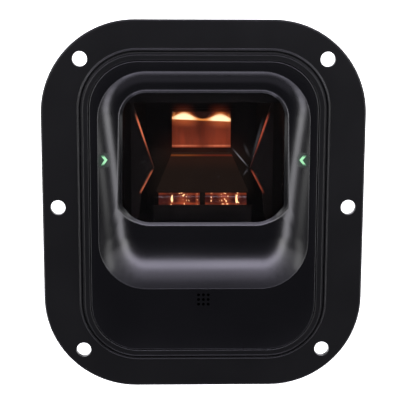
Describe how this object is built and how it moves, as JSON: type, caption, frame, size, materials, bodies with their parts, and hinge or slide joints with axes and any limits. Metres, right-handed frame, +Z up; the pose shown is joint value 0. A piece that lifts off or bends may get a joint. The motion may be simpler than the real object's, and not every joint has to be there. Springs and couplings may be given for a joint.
{
  "type": "fixed barcode reader",
  "caption": "Panel-mount barcode reader: a flat rounded flange round a boxed scanner whose scooped front holds a lit scan window, with a data socket at the rear.",
  "frame": {"origin": "middle of the mounting flange's back face", "axes": "+X across the face, +Z up the face, -Y the way the scan window looks, +Y to the rear"},
  "size_m": [0.109, 0.0576, 0.126],
  "materials": {
    "flange_black": "satin black moulding, smooth",
    "housing_black": "fine textured black moulding",
    "cover_black": "satin black moulding with a smooth sheen",
    "seal_rubber": "matt black",
    "window_glass": "polished, dark",
    "indicator_green": "clear, lit green",
    "board_green": "solder mask",
    "led_green": "lit",
    "led_red": "lit warm red",
    "lens_red": "clear moulding, lit from behind",
    "lens_clear": "polished clear moulding",
    "mirror_coat": "dark first-surface coating",
    "chamber_black": "light-absorbing black",
    "baffle_dark": "matt dark grey",
    "camera_black": "black anodised",
    "camera_glass": "coated",
    "sensor_grey": "chip package",
    "ribbon_amber": "polyimide film",
    "chip_black": "moulded package",
    "socket_white": "moulded connector",
    "jack_black": "moulded socket",
    "contact_gold": "plated",
    "brass": "machined, knurled",
    "screw_steel": "zinc plated",
    "screw_black": "black oxide"
  },
  "bodies": {
    "root": {"mounting_flange": "flange_black", "collar_seal": "seal_rubber", "collar_screws": "screw_black", "thread_inserts": "brass", "housing": "housing_black", "front_cover": "cover_black", "cover_seal": "seal_rubber", "cover_screws": "screw_steel", "window": "window_glass", "window_seal": "seal_rubber", "chamber_seal": "seal_rubber", "indicator_left": "indicator_green", "indicator_right": "indicator_green", "indicator_boards": "board_green", "indicator_leds": "led_green", "beeper": "chip_black", "beeper_gasket": "seal_rubber", "light_chamber": "chamber_black", "chamber_screws": "screw_steel", "baffle_left": "baffle_dark", "baffle_right": "baffle_dark", "fold_mirror": "mirror_coat", "mirror_wedge": "chamber_black", "upper_lamp_board": "board_green", "upper_lamp_leds": "led_red", "upper_lamp_lens": "lens_red", "lower_lamp_board": "board_green", "lower_lamp_leds": "led_red", "lower_lamp_lens": "lens_clear", "camera_body": "camera_black", "lens_barrel": "camera_black", "camera_lens": "camera_glass", "image_sensor": "sensor_grey", "sensor_board": "board_green", "sensor_ribbon": "ribbon_amber", "main_board": "board_green", "board_chips": "chip_black", "board_screws": "screw_steel", "ribbon_socket": "socket_white", "jack": "jack_black", "jack_contacts": "contact_gold", "rear_cover": "housing_black", "rear_seal": "seal_rubber", "rear_screws": "screw_black"}
  },
  "joints": []
}
